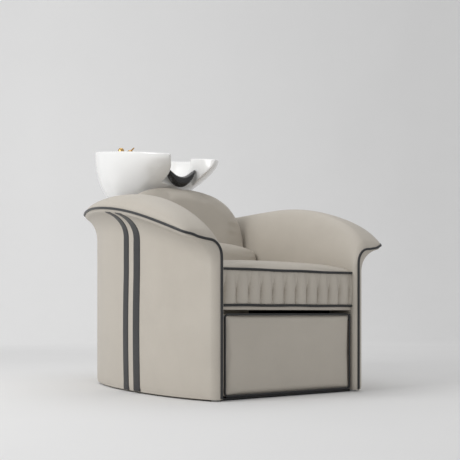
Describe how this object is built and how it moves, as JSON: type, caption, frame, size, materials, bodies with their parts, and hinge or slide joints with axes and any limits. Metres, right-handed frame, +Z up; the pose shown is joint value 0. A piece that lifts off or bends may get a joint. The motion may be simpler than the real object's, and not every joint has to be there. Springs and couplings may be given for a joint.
{
  "type": "shampoo backwash unit",
  "caption": "Upholstered backwash armchair with rolled arms, swing-out leg rest and a tilting ceramic shampoo bowl on a rear service column.",
  "frame": {"origin": "floor level under the centre of the unit's bounding box", "axes": "+Z up; -Y is the chair's front; +X is the sitter's left"},
  "size_m": [0.9758, 1.313, 1.079],
  "materials": {
    "leatherette": "grained greige upholstery",
    "leatherette_dark": "black piping and stripes",
    "plywood": "birch plywood, unfinished",
    "frame_steel": "black powder coat",
    "zinc_steel": "zinc plated",
    "panel_paint": "greige powder coat",
    "black_plastic": "moulded",
    "grey_plastic": "moulded",
    "red_plastic": "moulded",
    "blue_plastic": "moulded",
    "glazed_white": "white glaze",
    "gel_black": "glossy moulded gel",
    "chrome": "polished",
    "brass": "brushed"
  },
  "bodies": {
    "chair": {"arm_left": "leatherette", "arm_right": "leatherette", "arm_piping_left": "leatherette_dark", "arm_piping_right": "leatherette_dark", "arm_stripes_left": "leatherette_dark", "arm_stripes_right": "leatherette_dark", "arm_frame_left": "plywood", "arm_frame_right": "plywood", "back_panel": "leatherette", "backrest_pad": "leatherette", "backrest_board": "plywood", "lumbar_cushion": "leatherette", "seat_cushion": "leatherette", "seat_piping": "leatherette_dark", "seat_board": "plywood", "seat_rail": "leatherette", "base_frame": "frame_steel", "plinth": "black_plastic", "glides": "grey_plastic", "legrest_brackets": "frame_steel", "legrest_pins": "zinc_steel", "actuator_body": "zinc_steel", "actuator_motor": "black_plastic", "column_frame": "frame_steel", "column_cover": "panel_paint", "door_hinge": "zinc_steel", "tilt_bracket": "zinc_steel", "tilt_pin": "zinc_steel", "waste_hose": "black_plastic", "waste_spigot": "grey_plastic", "supply_valves": "chrome", "switch_plate": "black_plastic"},
    "legrest": {"legrest_pad": "leatherette", "legrest_board": "plywood", "legrest_piping": "leatherette_dark", "legrest_lever": "zinc_steel"},
    "actuator": {"actuator_rod": "chrome"},
    "door": {"column_door": "panel_paint", "door_knob": "brass"},
    "bowl": {"tilt_cradle": "zinc_steel", "bowl": "glazed_white", "neck_rest": "gel_black", "drain_flange": "chrome", "drain_nut": "black_plastic", "mixer_body": "brass", "mixer_nut": "zinc_steel", "shower_holder": "brass"},
    "strainer": {"strainer": "chrome"},
    "tilt_lever": {"tilt_lever": "black_plastic"},
    "mixer_cap": {"mixer_cap": "brass"},
    "mixer_lever": {"mixer_lever": "brass"},
    "hand_shower": {"hand_shower": "brass"},
    "valve_hot": {"valve_handle_hot": "red_plastic"},
    "valve_cold": {"valve_handle_cold": "blue_plastic"},
    "button_up": {"button_up": "grey_plastic"},
    "button_down": {"button_down": "grey_plastic"}
  },
  "joints": [
    {"name": "legrest_swing", "type": "hinge", "parent": "chair", "child": "legrest", "pos_m": [0, -0.618, 0.276], "axis": [-1, 0, 0], "range_deg": [0, 85]},
    {"name": "actuator_extend", "type": "slide", "parent": "chair", "child": "actuator", "axis": [0, -1, 0], "range_m": [0, 0.17565]},
    {"name": "door_swing", "type": "hinge", "parent": "chair", "child": "door", "pos_m": [0.158, 0.536, 0.3], "axis": [0, 0, -1], "range_deg": [0, 110]},
    {"name": "bowl_tilt", "type": "hinge", "parent": "chair", "child": "bowl", "pos_m": [0, 0.333, 0.73], "axis": [-1, 0, 0], "range_deg": [0, 12], "deforming": ["waste_hose"]},
    {"name": "tilt_lock", "type": "hinge", "parent": "chair", "child": "tilt_lever", "pos_m": [0.07, 0.333, 0.73], "axis": [-1, 0, 0], "range_deg": [0, 40]},
    {"name": "strainer_lift", "type": "slide", "parent": "bowl", "child": "strainer", "axis": [0, 0, 1], "range_m": [0, 0.06]},
    {"name": "mixer_swivel", "type": "hinge", "parent": "bowl", "child": "mixer_cap", "pos_m": [0.024, 0.61, 1.05062], "axis": [0, 0, 1], "range_deg": [-50, 50]},
    {"name": "mixer_lift", "type": "hinge", "parent": "mixer_cap", "child": "mixer_lever", "pos_m": [0.024, 0.61, 1.06412], "axis": [-1, 0, 0], "range_deg": [0, 15]},
    {"name": "shower_lift", "type": "slide", "parent": "bowl", "child": "hand_shower", "axis": [0, 0, 1], "range_m": [0, 0.12]},
    {"name": "valve_hot_turn", "type": "hinge", "parent": "chair", "child": "valve_hot", "pos_m": [-0.075, 0.465, 0.26], "axis": [0, -1, 0], "range_deg": [0, 90]},
    {"name": "valve_cold_turn", "type": "hinge", "parent": "chair", "child": "valve_cold", "pos_m": [0.075, 0.465, 0.26], "axis": [0, 1, 0], "range_deg": [0, 90]},
    {"name": "button_up_press", "type": "slide", "parent": "chair", "child": "button_up", "axis": [1, 0, 0], "range_m": [0, 0.002], "stiffness_N_per_m": 400},
    {"name": "button_down_press", "type": "slide", "parent": "chair", "child": "button_down", "axis": [1, 0, 0], "range_m": [0, 0.002], "stiffness_N_per_m": 400}
  ],
  "couplings": [
    {"joint": "actuator_extend", "follows": "legrest_swing", "m_per_rad": 0.1184}
  ]
}
